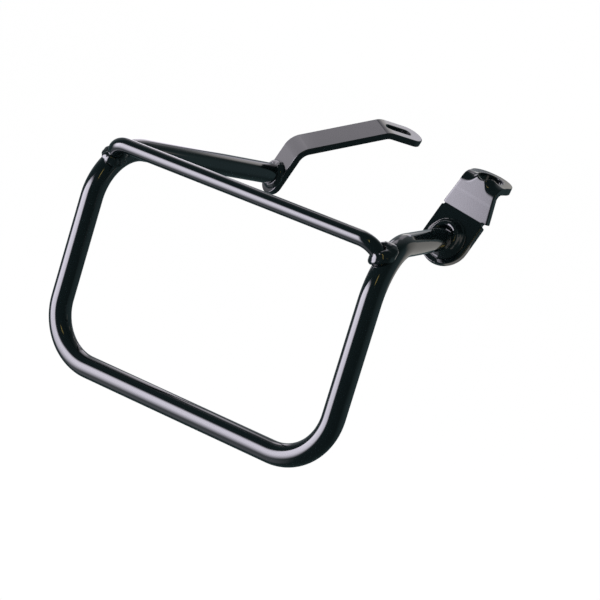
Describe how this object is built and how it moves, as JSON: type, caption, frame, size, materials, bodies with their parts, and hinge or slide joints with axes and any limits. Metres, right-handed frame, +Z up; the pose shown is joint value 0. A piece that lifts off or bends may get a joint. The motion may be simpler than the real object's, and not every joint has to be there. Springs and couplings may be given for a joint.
{
  "type": "motorbike pannier frame",
  "caption": "Black powder-coated tube frame that carries a motorbike's side pannier: a bent loop with a cross rod, a slotted strap at the rear and a folded eye bracket at the front.",
  "frame": {"origin": "centre of the eye's hole, halfway through the plate", "axes": "X along the bike with its front at +X, Y in towards the bike, Z up along the loop's uprights"},
  "size_m": [0.285, 0.3162, 0.2436],
  "materials": {
    "black_coat": "semi-gloss black powder coat on steel",
    "weld_coat": "semi-gloss black powder coat over weld beads"
  },
  "bodies": {
    "root": {"main_tube": "black_coat", "top_bar": "black_coat", "rear_strap": "black_coat", "eye_bracket": "black_coat", "weld_bar_rear": "weld_coat", "weld_bar_front": "weld_coat", "weld_strap": "weld_coat", "weld_eye": "weld_coat"}
  },
  "joints": []
}
